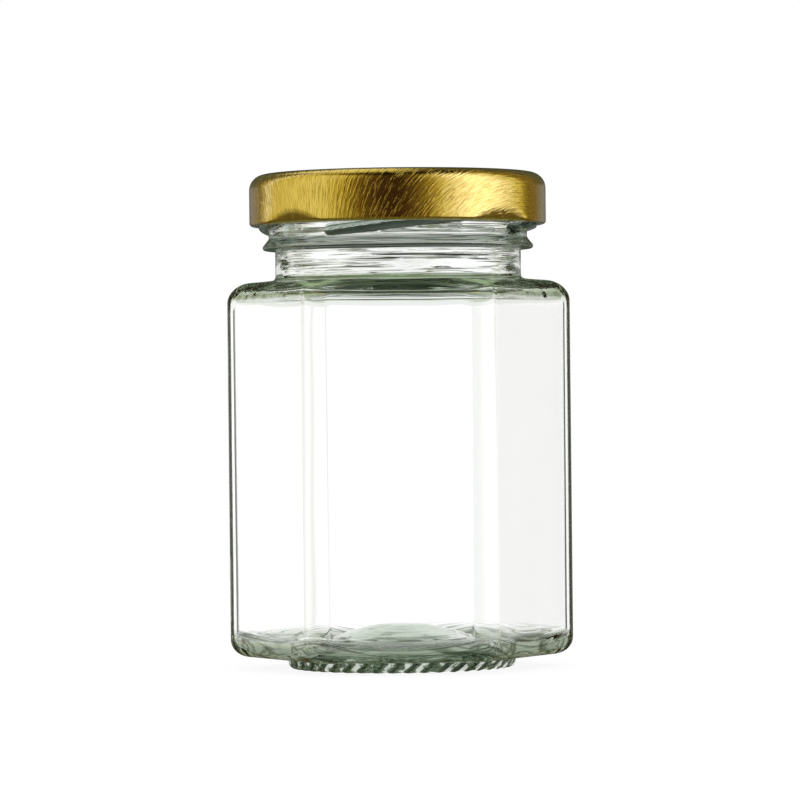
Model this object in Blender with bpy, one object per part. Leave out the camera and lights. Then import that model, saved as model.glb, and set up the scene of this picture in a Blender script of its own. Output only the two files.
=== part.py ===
"""An empty hexagonal glass jar with a gold metal twist-off lid, at its real size.

Metres, +Z up. The origin is on the surface that the jar stands on, under its middle.
Two opposite corners of the hexagon point along X, and two of its flat sides face -Y and +Y.
Lengths below are in millimetres and are turned into metres as the meshes are made.
"""

import math

import bmesh
import bpy

MM = 0.001

# Driving sizes of the glass
JAR_HEIGHT = 100.2
FLAT_TO_FLAT = 62.1
CORNER_ROUND = 5.5
WALL = 2.3
HEEL_BOTTOM = 2.4
HEEL_ROUND = 3.8
SHOULDER_TOP = 78.8
SHOULDER_ROUND = 4.0
SHOULDER_CORNER_ROUND = 9.0
NECK_RADIUS = 25.1
NECK_FOOT = 79.3
BEAD_BOTTOM = 85.3
BEAD_RADIUS = 27.65
BEAD_TOP = 87.6
FINISH_RADIUS = 26.4
MOUTH_RADIUS = 23.8
RIM_ROUND = 1.2
NECK_BORE = 22.9

# The foot ring that the jar stands on, and the pushed-up middle of its base
FOOT_OUTER = 23.2
FOOT_FLAT = (19.6, 22.0)
PUSH_UP_RADIUS = 18.4
PUSH_UP_HEIGHT = 4.4
FLOOR = 4.5
FLOOR_ROUND = 2.8
DOME_RADIUS = 15.0
DOME_TOP = 8.6

# Four thread ridges, one every quarter turn, each rising to the right as seen from outside
THREAD_STARTS = 4
THREAD_LOW_END = -123.0
THREAD_SPAN = 90.0
THREAD_LOW_Z = 88.6
THREAD_RISE = 4.5
THREAD_CENTRE_RADIUS = 27.4
THREAD_HALF_THICKNESS = 1.0
THREAD_TAPER = 0.09
THREAD_POINTS = 20

# The lid: sheet metal with a rolled lower edge and four lugs pressed in from it
LID_TOP = 100.8
LID_BOTTOM = 90.2
LID_RADIUS = 30.3
LID_SHEET = 0.3
LID_CORNER = 3.2
LID_RECESS = 0.7
LID_RECESS_RADIUS = 22.8
LID_STEP = 0.9
CURL_THICKNESS = 1.5
LUG_COUNT = 4
LUG_FIRST = 45.0
LUG_HALF_WIDTH = 14.0
LUG_DENT = 0.55
LUG_DENT_HEIGHT = 2.8
LUG_TAB = (6.0, 2.2, 0.7)
LUG_TAB_RADIUS = 28.5

# How finely round shapes are cut
CORNER_STEPS = 4
FLAT_STEPS = 6
ROUND_STEPS = 4
LID_STEPS = 64

SIXTH = math.radians(60)
HALF_SIXTH = math.radians(30)
APOTHEM = FLAT_TO_FLAT / 2


def clear_scene():
    for old in list(bpy.data.objects):
        bpy.data.objects.remove(old)


def material(name, colour, roughness, metallic=0.0, transmission=0.0):
    made = bpy.data.materials.new(name)
    made.use_nodes = True
    shader = made.node_tree.nodes["Principled BSDF"]
    shader.inputs["Base Color"].default_value = (*colour, 1.0)
    shader.inputs["Roughness"].default_value = roughness
    shader.inputs["Metallic"].default_value = metallic
    shader.inputs["Transmission Weight"].default_value = transmission
    made.diffuse_color = (*colour, 1.0)
    return made


def add_object(name, mesh_data, collection, finish=None):
    made = bpy.data.objects.new(name, mesh_data)
    collection.objects.link(made)
    if finish:
        made.data.materials.append(finish)
    return made


def add_collection(name):
    made = bpy.data.collections.new(name)
    bpy.context.scene.collection.children.link(made)
    return made


def mesh_from(name, shape):
    """Turns a bmesh in millimetres into a mesh in metres, with its faces pointing out."""
    bmesh.ops.recalc_face_normals(shape, faces=shape.faces)
    bmesh.ops.scale(shape, vec=(MM, MM, MM), verts=shape.verts)
    mesh_data = bpy.data.meshes.new(name)
    shape.to_mesh(mesh_data)
    shape.free()
    return mesh_data


def arc(centre, radius, start, end, steps=ROUND_STEPS):
    """Points on an arc in a profile's plane, from one angle in degrees to another, ends included."""
    angles = [math.radians(start + (end - start) * i / steps) for i in range(steps + 1)]
    return [
        (centre[0] + radius * math.cos(a), centre[1] + radius * math.sin(a)) for a in angles
    ]


def corner_edge(apothem, corner):
    """Half the angle, seen from the axis, that the rounding of one corner takes up."""
    centre = (apothem - corner) / math.cos(HALF_SIXTH)
    return math.atan2(corner * math.sin(HALF_SIXTH), centre + corner * math.cos(HALF_SIXTH))


def reach(direction, apothem, corner):
    """How far a hexagon with rounded corners reaches from its axis in one direction."""
    turn = abs((direction + HALF_SIXTH) % SIXTH - HALF_SIXTH)
    if turn >= corner_edge(apothem, corner):
        return apothem / math.cos(HALF_SIXTH - turn)
    centre = (apothem - corner) / math.cos(HALF_SIXTH)
    return centre * math.cos(turn) + math.sqrt(corner**2 - (centre * math.sin(turn)) ** 2)


def ring_directions():
    """Directions round the jar, close together on the corners and wider on the flat sides."""
    edge = corner_edge(APOTHEM, CORNER_ROUND)
    directions = []
    for side in range(6):
        middle = side * SIXTH
        for i in range(CORNER_STEPS):
            directions.append(middle - edge + 2 * edge * i / CORNER_STEPS)
        for i in range(FLAT_STEPS):
            directions.append(middle + edge + (SIXTH - 2 * edge) * i / FLAT_STEPS)
    return directions


def round_sections(points):
    """Profile points where the jar is round, as sections: a hexagon rounded into a circle."""
    return [(radius, radius, z) for radius, z in points]


def hexagonal_sections(points, corner_from, corner_to):
    """Profile points along the middle of a flat side, as sections whose corner rounding changes evenly."""
    last = len(points) - 1
    return [
        (apothem, corner_from + (corner_to - corner_from) * i / last, z)
        for i, (apothem, z) in enumerate(points)
    ]


def foot_sections():
    """The pushed-up middle underneath, the ring that the jar stands on, and its rounded outside."""
    cap = [
        (radius, PUSH_UP_HEIGHT * (1 - (radius / PUSH_UP_RADIUS) ** 2) + 0.6)
        for radius in (2.5, 8.0, 13.0, 16.5)
    ]
    inner_flat, outer_flat = FOOT_FLAT
    lip = [(PUSH_UP_RADIUS, 0.6), (inner_flat - 0.5, 0.15), (inner_flat, 0), (outer_flat, 0)]
    side_round = FOOT_OUTER - outer_flat
    side = arc((outer_flat, side_round), side_round, -60, 0, 3)
    return round_sections(cap + lip + side)


def body_sections():
    """Heel, flat-sided body and shoulder, up to the foot of the neck."""
    inset = APOTHEM - HEEL_ROUND
    heel = arc((inset, HEEL_BOTTOM + HEEL_ROUND), HEEL_ROUND, -90, 0)
    inset = APOTHEM - SHOULDER_ROUND
    shoulder = arc((inset, SHOULDER_TOP - SHOULDER_ROUND), SHOULDER_ROUND, 0, 90)
    return (
        hexagonal_sections(heel, CORNER_ROUND / 2, CORNER_ROUND)
        + hexagonal_sections(shoulder, CORNER_ROUND, SHOULDER_CORNER_ROUND)
        + round_sections([(NECK_RADIUS + 0.9, NECK_FOOT - 0.15), (NECK_RADIUS + 0.2, NECK_FOOT + 0.3)])
    )


def neck_sections():
    """The neck with its bead, and the rim of the mouth."""
    neck = [(NECK_RADIUS, NECK_FOOT + 1.2), (NECK_RADIUS, BEAD_BOTTOM)]
    bead_tip = arc((BEAD_RADIUS - 0.7, BEAD_BOTTOM + 1.0), 0.7, -70, 55, 3)
    finish = [(FINISH_RADIUS + 0.2, BEAD_TOP - 0.4), (FINISH_RADIUS, BEAD_TOP)]
    outside = arc((FINISH_RADIUS - RIM_ROUND, JAR_HEIGHT - RIM_ROUND), RIM_ROUND, 0, 90, 3)
    inside_round = RIM_ROUND / 2
    inside = arc((MOUTH_RADIUS + inside_round, JAR_HEIGHT - inside_round), inside_round, 90, 180, 2)
    return round_sections(neck + bead_tip + finish + outside + inside)


def inside_sections():
    """The inside, from the mouth down to the domed floor."""
    neck = [(MOUTH_RADIUS, BEAD_TOP + 2), (NECK_BORE, BEAD_BOTTOM - 1), (NECK_BORE, NECK_FOOT)]
    apothem = APOTHEM - WALL
    corner = CORNER_ROUND - WALL / 2
    round_in = 2.5
    top = SHOULDER_TOP - WALL - 0.4
    shoulder = arc((apothem - round_in, top - round_in), round_in, 90, 0)
    heel = arc((apothem - FLOOR_ROUND, FLOOR + FLOOR_ROUND), FLOOR_ROUND, 0, -90)
    dome_height = DOME_TOP - FLOOR
    dome = [
        (radius, DOME_TOP - dome_height * (radius / DOME_RADIUS) ** 2)
        for radius in (DOME_RADIUS, 11.0, 7.0, 2.5)
    ]
    return (
        round_sections(neck + [(NECK_BORE + 0.9, top + 0.9)])
        + hexagonal_sections(shoulder, SHOULDER_CORNER_ROUND, corner)
        + hexagonal_sections(heel, corner, corner)
        + round_sections([(DOME_RADIUS + 5.0, FLOOR - 0.05), *dome])
    )


def loft(name, sections, directions):
    """A closed skin over a stack of sections, from the middle underneath round to the middle of the floor."""
    shape = bmesh.new()
    rings = []
    for apothem, corner, z in sections:
        spread = [(d, reach(d, apothem, corner)) for d in directions]
        rings.append([shape.verts.new((r * math.cos(d), r * math.sin(d), z)) for d, r in spread])
    count = len(directions)
    for low, high in zip(rings, rings[1:]):
        for i in range(count):
            j = (i + 1) % count
            shape.faces.new((low[i], low[j], high[j], high[i]))
    shape.faces.new(rings[0])
    shape.faces.new(rings[-1])
    return mesh_from(name, shape)


def as_closed_mesh(source, collection):
    """A mesh object in place of a curve object, with its loose end caps joined on."""
    graph = bpy.context.evaluated_depsgraph_get()
    mesh_data = bpy.data.meshes.new_from_object(source.evaluated_get(graph))
    shape = bmesh.new()
    shape.from_mesh(mesh_data)
    bmesh.ops.remove_doubles(shape, verts=shape.verts, dist=1e-6)
    bmesh.ops.recalc_face_normals(shape, faces=shape.faces)
    shape.to_mesh(mesh_data)
    shape.free()
    made = add_object(source.name + "_mesh", mesh_data, collection)
    made.matrix_world = source.matrix_world
    bpy.data.objects.remove(source)
    return made


def thread_ridge(number, collection):
    """One raised thread: a round bar along part of a helix, sunk into the neck and tapered at both ends."""
    path = bpy.data.curves.new(f"thread_{number}", "CURVE")
    path.dimensions = "3D"
    path.bevel_depth = THREAD_HALF_THICKNESS * MM
    path.bevel_resolution = 2
    path.use_fill_caps = True
    spline = path.splines.new("POLY")
    spline.points.add(THREAD_POINTS - 1)
    start = math.radians(THREAD_LOW_END + number * 360 / THREAD_STARTS)
    for i, point in enumerate(spline.points):
        share = i / (THREAD_POINTS - 1)
        direction = start + math.radians(THREAD_SPAN) * share
        fade = min(1.0, share / THREAD_TAPER, (1 - share) / THREAD_TAPER)
        swell = math.sqrt(1 - (1 - fade) ** 2)
        radius = THREAD_CENTRE_RADIUS - THREAD_HALF_THICKNESS * (1 - swell)
        z = THREAD_LOW_Z + THREAD_RISE * share
        point.co = (radius * math.cos(direction) * MM, radius * math.sin(direction) * MM, z * MM, 1)
        point.radius = max(swell, 0.25)
    bar = bpy.data.objects.new(path.name, path)
    collection.objects.link(bar)
    bpy.context.view_layer.update()
    return as_closed_mesh(bar, collection)


def join_all(target, joined):
    """Fuses everything in a collection onto the target, then removes what was fused."""
    union = target.modifiers.new("Fused pieces", "BOOLEAN")
    union.operation = "UNION"
    union.operand_type = "COLLECTION"
    union.collection = joined
    union.solver = "EXACT"
    bpy.context.view_layer.update()
    graph = bpy.context.evaluated_depsgraph_get()
    fused = bpy.data.meshes.new_from_object(target.evaluated_get(graph))
    target.modifiers.clear()
    target.data = fused
    for piece in list(joined.objects):
        bpy.data.objects.remove(piece)
    bpy.data.collections.remove(joined)


def glass_jar(collection):
    sections = foot_sections() + body_sections() + neck_sections() + inside_sections()
    finish = material("clear_glass", (0.86, 0.91, 0.87), 0.03, transmission=1.0)
    jar = add_object("glass_jar", loft("glass_jar", sections, ring_directions()), collection, finish)
    threads = add_collection("threads")
    for number in range(THREAD_STARTS):
        thread_ridge(number, threads)
    join_all(jar, threads)
    jar.data.shade_smooth()
    jar.data.set_sharp_from_angle(angle=math.radians(35))
    return jar


def lid_profile():
    """The lid's section, from the middle of its top, down the outside, round the rolled edge and back inside."""
    sheet = LID_SHEET
    recess_top = LID_TOP - LID_RECESS
    shoulder = (LID_RADIUS - LID_CORNER, LID_TOP - LID_CORNER)
    curl = CURL_THICKNESS / 2
    curl_centre = (LID_RADIUS - curl + 0.05, LID_BOTTOM + curl)
    inner_skirt = LID_RADIUS - sheet
    step_end = LID_RECESS_RADIUS + LID_STEP
    outside = [(0, recess_top), (LID_RECESS_RADIUS, recess_top), (step_end, LID_TOP)]
    inside = [(step_end + 0.1, LID_TOP - sheet), (LID_RECESS_RADIUS + 0.1, recess_top - sheet)]
    return (
        outside
        + arc(shoulder, LID_CORNER, 90, 0)
        + arc(curl_centre, curl, 0, -240, 7)
        + [(inner_skirt, LID_BOTTOM + CURL_THICKNESS + 0.4)]
        + arc(shoulder, LID_CORNER - sheet, 0, 90, 3)
        + inside
        + [(0, recess_top - sheet)]
    )


def press_lugs(shape):
    """Pushes the lower edge of the lid in where each lug is formed."""
    step = math.radians(360 / LUG_COUNT)
    half = math.radians(LUG_HALF_WIDTH)
    for vertex in shape.verts:
        height = (vertex.co.z - LID_BOTTOM) / LUG_DENT_HEIGHT
        direction = math.atan2(vertex.co.y, vertex.co.x) - math.radians(LUG_FIRST)
        turn = abs((direction + step / 2) % step - step / 2) / half
        if height < 1 and turn < 1:
            push = LUG_DENT * math.cos(turn * math.pi / 2) ** 2 * (1 - max(height, 0) ** 2)
            radius = math.hypot(vertex.co.x, vertex.co.y)
            vertex.co.x *= 1 - push / radius
            vertex.co.y *= 1 - push / radius


def lid_shell():
    """The lid's profile spun round its axis, with the lugs pressed in."""
    shape = bmesh.new()
    ends = [shape.verts.new((radius, 0, z)) for radius, z in lid_profile()]
    edges = [shape.edges.new(pair) for pair in zip(ends, ends[1:])]
    bmesh.ops.spin(
        shape,
        geom=ends + edges,
        cent=(0, 0, 0),
        axis=(0, 0, 1),
        angle=2 * math.pi,
        steps=LID_STEPS,
        use_merge=True,
    )
    bmesh.ops.remove_doubles(shape, verts=shape.verts, dist=0.001)
    press_lugs(shape)
    return mesh_from("twist_lid", shape)


def lug_tab(number, collection):
    """One flat tab that reaches in from the rolled edge, under a thread."""
    width, depth, height = LUG_TAB
    shape = bmesh.new()
    bmesh.ops.create_cube(shape, size=1)
    bmesh.ops.scale(shape, vec=(depth, width, height), verts=shape.verts)
    tab = add_object(f"lug_tab_{number}", mesh_from(f"lug_tab_{number}", shape), collection)
    direction = math.radians(LUG_FIRST + number * 360 / LUG_COUNT)
    x = LUG_TAB_RADIUS * math.cos(direction)
    y = LUG_TAB_RADIUS * math.sin(direction)
    tab.location = (x * MM, y * MM, (LID_BOTTOM + 0.02 + height / 2) * MM)
    tab.rotation_euler = (0, 0, direction)
    return tab


def twist_lid(collection):
    finish = material("gold_lacquer", (0.80, 0.58, 0.16), 0.3, metallic=1.0)
    lid = add_object("twist_lid", lid_shell(), collection, finish)
    tabs = add_collection("lug_tabs")
    for number in range(LUG_COUNT):
        lug_tab(number, tabs)
    join_all(lid, tabs)
    lid.data.shade_smooth()
    lid.data.set_sharp_from_angle(angle=math.radians(40))
    return lid


def main():
    clear_scene()
    parts = add_collection("hexagonal_jar")
    glass_jar(parts)
    twist_lid(parts)


main()
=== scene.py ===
"""The looks of an empty hexagonal glass jar, shut with a brushed gold twist-off lid.

Sizes are in millimetres unless their name says otherwise, and a mesh is scaled to metres when it
is finished. Directions round the jar are angles from +X, as seen from above.
"""

import math

import bmesh
import bpy
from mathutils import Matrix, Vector, noise


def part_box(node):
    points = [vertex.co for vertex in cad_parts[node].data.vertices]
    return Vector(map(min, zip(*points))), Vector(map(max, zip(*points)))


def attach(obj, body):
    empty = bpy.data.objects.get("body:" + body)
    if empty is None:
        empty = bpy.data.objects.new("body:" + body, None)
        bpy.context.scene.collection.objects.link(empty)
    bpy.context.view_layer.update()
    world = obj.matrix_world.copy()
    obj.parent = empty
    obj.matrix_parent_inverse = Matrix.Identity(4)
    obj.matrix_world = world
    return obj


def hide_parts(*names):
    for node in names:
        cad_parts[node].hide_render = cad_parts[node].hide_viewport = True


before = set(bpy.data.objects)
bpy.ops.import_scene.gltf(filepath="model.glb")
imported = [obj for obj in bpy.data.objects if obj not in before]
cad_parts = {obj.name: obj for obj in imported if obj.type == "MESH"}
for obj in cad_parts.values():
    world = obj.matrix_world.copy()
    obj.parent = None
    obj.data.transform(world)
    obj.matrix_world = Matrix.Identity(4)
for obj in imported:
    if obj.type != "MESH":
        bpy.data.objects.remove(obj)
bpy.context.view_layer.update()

MM = 0.001

# Sizes of the glass. The outside is as in the solid, the wall is a little thinner than there, and
# the dome in the floor is wider and higher
JAR_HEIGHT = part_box("glass_jar")[1].z / MM
FLAT_TO_FLAT = 62.1
CORNER_ROUND = 5.5
WALL = 2.0
HEEL_BOTTOM = 2.4
HEEL_ROUND = 3.8
SHOULDER_TOP = 78.8
SHOULDER_ROUND = 4.0
SHOULDER_CORNER_ROUND = 9.0
NECK_RADIUS = 25.1
NECK_FOOT = 79.3
NECK_FILLET = 0.8
UNDER_BEAD_ROUND = 0.3
BEAD_BOTTOM = 85.3
BEAD_RADIUS = 27.65
BEAD_TOP = 87.6
BEAD_ROUND = 0.55
FINISH_RADIUS = 26.4
MOUTH_RADIUS = 23.8
RIM_ROUND = 1.2
NECK_BORE = 22.9
FOOT_OUTER = 23.2
FOOT_FLAT = (19.6, 22.0)
FOOT_LIP = ((19.0, 0.22), (19.3, 0.1))
UNDER_HEEL = ((0.15, 1.8), (0.7, 2.15), (2.0, 2.3))
PUSH_UP_RADIUS = 18.4
PUSH_UP_HEIGHT = 4.4
PUSH_UP_EDGE = 0.6
PUSH_UP_RINGS = (0.4, 2.5, 5.0, 7.5, 10.0, 12.0, 14.0, 15.5, 16.6, 17.4)
FLOOR = 4.5
FLOOR_ROUND = 2.8
INSIDE_CORNERS = (4.7, 5.2)
INSIDE_SHOULDER_CORNER = 6.5
INSIDE_SHOULDER_ROUND = 1.8
INSIDE_TOP = SHOULDER_TOP - 2.7
INSIDE_BEND = 2.0
DOME_RADIUS = 16.0
DOME_FOOT = 1.5
DOME_SOFTNESS = 0.02
DOME_TOP = 9.2
DOME_RINGS = (23.5, 21.5, 20.0, 18.5, 17.0, 15.5, 14.0, 12.0, 10.0, 8.0, 6.0, 4.0, 2.0, 0.4)

# The raised threads
THREAD_STARTS = 4
THREAD_LOW_END = -120.6
THREAD_SPAN = 86.0
THREAD_LOW_Z = 88.6
THREAD_RISE = 4.3
THREAD_HEIGHT = 2.0
THREAD_HALF_THICKNESS = 1.2
THREAD_EDGE = 0.85
THREAD_MARGIN = 20.0

# Marks that moulding and pressing leave in the glass
KNURLS = 44
KNURL_DEPTH = 0.5
KNURL_NOTCH = 0.25
KNURL_SLANT = 0.9
KNURL_LEAN = 0.5
KNURL_FULLNESS = 0.7
KNURL_BEGINS = (-0.1, 0.15)
KNURL_SIDE = (0.6, 1.0)
WALL_WAVE = 0.10
SHOULDER_WAVE = 0.06
NECK_WAVE = 0.05
FLOOR_WAVE = 0.25

# Ripples: how close together round the jar and over its height, and where in the noise
WALL_RIPPLE = (2.0, 0.03, 3.0)
SHOULDER_RIPPLE = (5.0, 0.1, 11.0)
SHOULDER_FINE_RIPPLE = (14.0, 0.2, 17.0)
NECK_RIPPLE = (2.0, 1.1, 23.0)
NECK_FINE_RIPPLE = (3.0, 2.3, 29.0)
FLOOR_RIPPLE = (2.5, 0.3, 31.0)
FLOOR_FINE_RIPPLE = (6.0, 0.3, 37.0)
FLOOR_RINGS = (1.5, 0.9, 41.0)

# Sizes of the lid, as in the solid
LID_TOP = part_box("twist_lid")[1].z / MM
LID_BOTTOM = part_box("twist_lid")[0].z / MM
LID_RADIUS = 30.3
LID_SHEET = 0.3
LID_CORNER = 3.2
LID_RECESS = 0.7
LID_RECESS_RADIUS = 22.8
LID_STEP = 0.9
LID_STEP_ROUND = 0.4
LID_PANEL_RINGS = (0.0, 4.0, 9.0, 14.0, 19.0)
CURL_THICKNESS = 1.5
LUG_COUNT = 4
LUG_FIRST = 45.0
LUG_HALF_WIDTH = 14.5
LUG_ARCH = 2.4
LUG_SLOPE = 0.45
LUG_EDGE = 0.8

# How the lid's flat blank was brushed: the direction in degrees, then scales of the noise along and
# across the strokes, and depths in metres
BRUSH_DIRECTION = -126.0
FINE_STROKES = (330.0, 3400.0)
COARSE_STROKES = (220.0, 1800.0)
FINE_DEPTH = 0.00003
COARSE_DEPTH = 0.00004
CUT_DEPTH = 0.00002
STROKE_WANDER = 0.0006
WANDER_SCALE = 260.0
CUT_EDGE = (0.54, 0.62)

# Marks in the glass that only the material has: scales of the noise across and along the height,
# and depths in metres
STREAKS = (30.0, 1150.0)
STREAK_PATCHES = (60.0, 200.0)
SWIRLS = (26.0, 560.0)
STREAK_DEPTH = 0.0006
SWIRL_DEPTH = 0.00026
SLOW_DEPTH = 0.00003
SLOW_SCALE = 45.0
HAZE_SCALE = 400.0

# Where a mark begins and is full, on the noise or the beads that it comes from
PATCH_EDGE = (0.30, 0.62)
HAZE_EDGE = (0.40, 0.8)
RIDGE_EDGE = (0.012, 0.045)
LINE_EDGE = (0.56, 0.70)
NOTCH_EDGE = (0.30, 0.75)
CREST_EDGE = (0.74, 0.94)
CREST_HAZE = (0.0, 0.35)

# How much of its colour or finish a mark has; the flow, line and notch colours are painted shade and the
# crest finish a painted highlight
FLOW_SHADE_SHARE = 0.9
LINE_SHADE_SHARE = 0.4
NOTCH_SHADE_SHARE = 0.95
CREST_SHARE = 0.95
FINISH_CALM = 0.7
HAZE_ROUGHNESS = 0.015
CREST_HIGHLIGHT_ROUGHNESS = 0.85

# How finely round shapes are cut
CORNER_STEPS = 18
FLAT_STEPS = 38
LID_STEPS = 320
LID_SMOOTH_ANGLE = 50

# The floor that the jar stands on
FLOOR_DISC = 450
FLOOR_DISC_STEPS = 96
FLOOR_TONES = ((0.93, 0.93, 0.93, 1.0), (0.97, 0.97, 0.97, 1.0))
FLOOR_SPECKLE = 260.0
FLOOR_FADE = (0.05, 0.16)
FLOOR_GLOW = 1.05
FLOOR_GLOW_NEAR = 0.86
FLOOR_GLOW_MORE = 0.14

# The camera and the picture's size in pixels
PICTURE = 800
CAMERA_DISTANCE = 909.0
EYE_HEIGHT = 55.3
FOCAL_PIXELS = 4445.0
CAMERA_ROLL = 0.6
CAMERA_PITCH = -0.046
CAMERA_TURN = -0.007
SENSOR = 36.0

# Light that is mirrored, round the jar: degrees right of the camera, and half the level there
MIRRORED_LEVELS = (
    (-180, 0.12), (-137, 0.10), (-134, 0.05), (-127, 0.10), (-123, 0.62), (-117, 0.62),
    (-112, 0.26), (-100, 0.42), (-62, 0.46), (-46, 0.34), (-38, 0.14), (-26, 0.05),
    (-10, 0.02), (4, 0.02), (14, 0.05), (28, 0.18), (36, 0.42), (50, 0.64),
    (60, 0.93), (76, 0.93), (90, 0.62), (106, 0.40), (113, 0.32), (117, 0.10),
    (123, 0.08), (128, 0.12), (136, 0.10), (180, 0.12),
)

# Light that comes level through the glass, given the same way
THROUGH_LEVELS = (
    (-180, 0.575), (-172.6, 0.575), (-171.6, 0.43), (-170.8, 0.43), (-169.8, 0.575), (-150, 0.575),
    (-142, 0.03), (-112, 0.03), (-108, 0.5), (-60, 0.5), (-40, 0.03), (-11, 0.03),
    (-7, 0.5), (7, 0.5), (11, 0.03), (40, 0.03), (60, 0.5), (108, 0.62),
    (126, 0.62), (130, 0.03), (142, 0.03), (150, 0.575), (180, 0.575),
)

# Light that comes through the glass from below and above: degrees up, and the colour there
SHEET = (0.95, 0.96, 0.94)
CEILING = (0.50, 0.53, 0.48)
PALE_UNDER = (0.74, 0.77, 0.71)
DIM_UNDER = (0.27, 0.30, 0.25)
PALE_LOW = (0.76, 0.78, 0.74)
DIM_LOW = (0.25, 0.27, 0.23)
PALE_EDGE = (0.78, 0.80, 0.76)
DIM_EDGE = (0.40, 0.42, 0.38)
UNDER_STOPS = (
    (-90, PALE_UNDER), (-69, PALE_UNDER), (-67, DIM_UNDER), (-63, DIM_UNDER),
    (-61, PALE_UNDER), (-55, PALE_UNDER), (-53, DIM_UNDER), (-49, DIM_UNDER),
    (-47, PALE_LOW), (-40, PALE_LOW), (-38.5, DIM_LOW), (-36.5, DIM_LOW),
    (-35, PALE_LOW), (-28, PALE_LOW), (-26.5, DIM_LOW), (-24.5, DIM_LOW),
    (-23, PALE_EDGE), (-19, PALE_EDGE), (-17.5, DIM_EDGE), (-16.5, DIM_EDGE),
    (-15, SHEET), (29, SHEET), (34, CEILING), (90, CEILING),
)

# How the tone of the mirrored light changes with half its level
WARM_STOPS = (
    (0.02, (1.0, 0.50, 0.30, 1.0)),
    (0.10, (1.0, 0.74, 0.14, 1.0)),
    (0.28, (1.0, 0.86, 0.12, 1.0)),
    (0.43, (1.0, 0.98, 0.44, 1.0)),
    (0.50, (1.0, 1.0, 0.78, 1.0)),
    (0.70, (1.0, 1.0, 1.0, 1.0)),
)

# Other tones of the mirrored light: low and high behind the jar, right behind it, and under it
BEHIND_LOW = (0.27, 0.26, 0.23, 1.0)
BEHIND_HIGH = (0.11, 0.11, 0.06, 1.0)
RIGHT_BEHIND = (0.06, 0.07, 0.05, 1.0)
UNDER_NEAR = (0.14, 0.15, 0.06, 1.0)
UNDER_FAR = (0.13, 0.10, 0.03, 1.0)
LINE_LIGHT_LEVEL = 0.85

# Where a mirrored light begins and is full, or is full and ends: degrees up, down or to either
# side, and for the line light the parts of a direction
BOX_TOP = (52.0, 66.0)
BEHIND_RISE = (3.0, 8.0)
BEHIND_SIDE = (134.0, 143.0)
RIGHT_BEHIND_SIDE = (163.0, 169.0)
UNDER_BEGINS = (12.0, 24.0)
UNDER_TURNS = (28.0, 46.0)
LINE_HEIGHT = (0.42, 0.52)
LINE_LEFT = (-0.46, -0.40)
LINE_RIGHT = (-0.02, 0.18)
LINE_NEAR = (-0.04, 0.08)
LINE_FAR = (0.62, 0.78)

# How steeply light goes through the glass where the bands take over, and the level middle, in degrees
STEEP = (4.5, 6.5)
LEVEL_MIDDLE = -0.5

# Where a part of the glass begins or ends: the heights or radii in metres between which its mask turns
NECK_BEGINS = (0.0788, 0.0800)
NECK_ENDS = (0.0848, 0.0856)
FINISH_ENDS = (0.0935, 0.0955)
FINISH_SIDE = (0.0265, 0.0271)
SHOULDER_BEGINS = (0.0764, 0.0776)
SHOULDER_ENDS = (0.0794, 0.0799)
FRONT_AND_BACK = (0.0215, 0.0265)
BEAD_BEGINS = (0.0846, 0.0851)
BEAD_ENDS = (0.0872, 0.0878)
BEAD_SIDE = (0.0247, 0.0255)
THREAD_BEGINS = (0.0880, 0.0885)
THREAD_SIDE = (0.0266, 0.0272)
DOME_BEGINS = (0.0060, 0.0072)
DOME_ENDS = (0.0098, 0.0105)
DOME_SIDE = (0.0160, 0.0175)
BASE_GREEN_AND_SHADE_ENDS = (0.0030, 0.0070)
WAVY_BASE_ENDS = (0.0062, 0.0085)
FLOW_SIDE = (0.0155, 0.0185)
FOOT_SIDE = (0.0192, 0.0200)
FOOT_ENDS = (0.0019, 0.0024)

# Colours of the glass, with painted shade in its thick parts, flow lines and notches, and a painted
# highlight on the foot's crests
WHITE = (1.0, 1.0, 1.0, 1.0)
# Glass green deepened with painted shade in the shoulder, bead, threads, dome and base; the shoulder's front
# and back are lighter than its sides
SHOULDER_GREEN_AND_SHADE = (0.22, 0.29, 0.17, 1.0)
FRONT_SHOULDER_GREEN_AND_SHADE = (0.46, 0.60, 0.35, 1.0)
BEAD_GREEN_AND_SHADE = (0.25, 0.28, 0.25, 1.0)
THREAD_GREEN_AND_SHADE = (0.37, 0.45, 0.40, 1.0)
DOME_GREEN_AND_SHADE = (0.76, 0.80, 0.74, 1.0)
BASE_GREEN_AND_SHADE = (0.35, 0.42, 0.33, 1.0)
# Painted shade along the flow lines, for the dark that they bend into view
PAINTED_FLOW_SHADE = (0.10, 0.14, 0.09, 1.0)
# Painted shade in the notches between the foot's beads
PAINTED_NOTCH_SHADE = (0.02, 0.035, 0.02, 1.0)
# A white matt finish on the foot's crests, as their painted highlight
CREST_HIGHLIGHT = (0.80, 0.84, 0.78, 1.0)
VOLUME_TINT = (0.56, 0.72, 0.58, 1.0)
VOLUME_DENSITY = 18.0
GLASS_IOR = 1.52

# Colours of the lid
GOLD = (0.76, 0.56, 0.18, 1.0)
PALE_GOLD = (0.84, 0.63, 0.22, 1.0)
DEEP_GOLD = (0.46, 0.31, 0.045, 1.0)
GOLD_PATCHES = 60.0
DEEP_GOLD_EDGE = (0.44, 0.62)
DEEP_GOLD_SHARE = 0.6
GOLD_ROUGHNESS = 0.13
STROKE_ROUGHNESS = 0.12
LACQUER = 0.6
LACQUER_ROUGHNESS = 0.1
LINING = (0.20, 0.25, 0.21, 1.0)
PALE_LINING = (0.30, 0.35, 0.31, 1.0)
LINING_MOTTLE = 240.0
LINING_ROUGHNESS = 0.35
MOTTLE_ROUGHNESS = 0.2

# How the lid's inner faces are told: by how far they face up, down or to the axis, and by their place
FACES_UP = 0.2
FACES_AWAY = 0.3
ABOVE_CURL = 1.0
WITHIN_SKIRT = 0.6

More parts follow.
